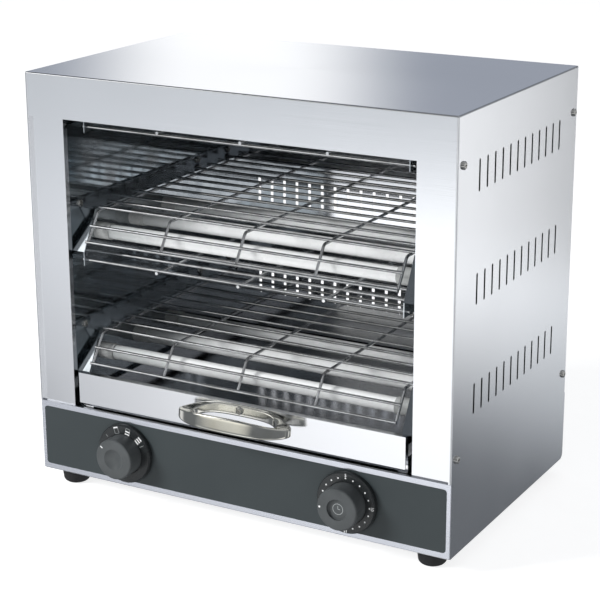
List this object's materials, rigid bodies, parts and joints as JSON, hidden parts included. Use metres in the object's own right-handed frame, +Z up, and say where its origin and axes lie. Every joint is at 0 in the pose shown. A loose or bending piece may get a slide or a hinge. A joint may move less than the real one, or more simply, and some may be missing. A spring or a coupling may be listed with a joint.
{
  "type": "two-level open toaster",
  "caption": "Counter-top open-front infrared toaster: steel cabinet with quartz tubes, pull-out wire racks, slide-out crumb tray, heat selector and timer knobs.",
  "frame": {"origin": "centre of the object's footprint, on the surface it stands on", "axes": "+X to the user's right along the width, +Y from the controls to the back, +Z up"},
  "size_m": [0.4446, 0.306, 0.41],
  "materials": {
    "cabinet_steel": "satin stainless steel sheet",
    "polished_steel": "mirror-polished stainless sheet",
    "chromed_wire": "bright chromed wire",
    "quartz": "milky quartz",
    "ceramic": "unglazed grey ceramic",
    "coil_alloy": "oxidised resistance wire",
    "pull_chrome": "polished chrome casting",
    "screw_steel": "nickel-plated steel",
    "overlay_film": "satin dark grey film",
    "dial_plastic": "satin black plastic",
    "knob_plastic": "fine satin black plastic",
    "switch_body": "moulded dark plastic",
    "foot_rubber": "black rubber",
    "gland_nylon": "black nylon"
  },
  "bodies": {
    "cabinet": {"outer_cover": "cabinet_steel", "back_panel": "cabinet_steel", "front_post_right": "cabinet_steel", "front_post_left": "cabinet_steel", "base_pan": "cabinet_steel", "base_side_right": "cabinet_steel", "base_side_left": "cabinet_steel", "base_deck": "cabinet_steel", "control_panel": "cabinet_steel", "side_liner_right": "polished_steel", "side_liner_left": "polished_steel", "ceiling_reflector": "polished_steel", "tray_runners": "polished_steel", "heater_bracket_lower_left": "polished_steel", "heater_bracket_lower_right": "polished_steel", "heater_bracket_upper_left": "polished_steel", "heater_bracket_upper_right": "polished_steel", "heater_bracket_top_left": "polished_steel", "heater_bracket_top_right": "polished_steel", "middle_guard": "chromed_wire", "ceiling_guard": "chromed_wire", "quartz_tubes_bottom": "quartz", "tube_end_caps_bottom": "ceramic", "heating_coils_bottom": "coil_alloy", "quartz_tubes_middle": "quartz", "tube_end_caps_middle": "ceramic", "heating_coils_middle": "coil_alloy", "quartz_tubes_top": "quartz", "tube_end_caps_top": "ceramic", "heating_coils_top": "coil_alloy", "bracket_screws": "screw_steel", "cover_screws": "screw_steel", "back_screws": "screw_steel", "foot_screws": "screw_steel", "panel_overlay": "overlay_film", "selector_dial_ring": "dial_plastic", "timer_dial_ring": "dial_plastic", "selector_switch": "switch_body", "timer_clockwork": "switch_body", "rubber_feet": "foot_rubber", "cable_gland": "gland_nylon", "terminal_block": "gland_nylon"},
    "tray": {"crumb_tray": "polished_steel", "tray_pull": "pull_chrome", "tray_pull_screw": "screw_steel"},
    "selector": {"selector_knob": "knob_plastic", "selector_shaft": "screw_steel"},
    "timer": {"timer_knob": "knob_plastic", "timer_shaft": "screw_steel"},
    "upper_rack": {"rack_upper": "chromed_wire", "rack_upper_front": "chromed_wire"},
    "lower_rack": {"rack_lower": "chromed_wire", "rack_lower_front": "chromed_wire"}
  },
  "joints": [
    {"name": "tray_slide", "type": "slide", "parent": "cabinet", "child": "tray", "axis": [0, -1, 0], "range_m": [0, 0.2]},
    {"name": "upper_rack_slide", "type": "slide", "parent": "cabinet", "child": "upper_rack", "axis": [0, -1, 0], "range_m": [0, 0.18]},
    {"name": "lower_rack_slide", "type": "slide", "parent": "cabinet", "child": "lower_rack", "axis": [0, -1, 0], "range_m": [0, 0.18]},
    {"name": "selector_turn", "type": "hinge", "parent": "cabinet", "child": "selector", "pos_m": [-0.12, -0.14, 0.0505], "axis": [0, 1, 0], "range_deg": [0, 96]},
    {"name": "timer_turn", "type": "hinge", "parent": "cabinet", "child": "timer", "pos_m": [0.12, -0.14, 0.0505], "axis": [0, 1, 0], "range_deg": [0, 270]}
  ]
}
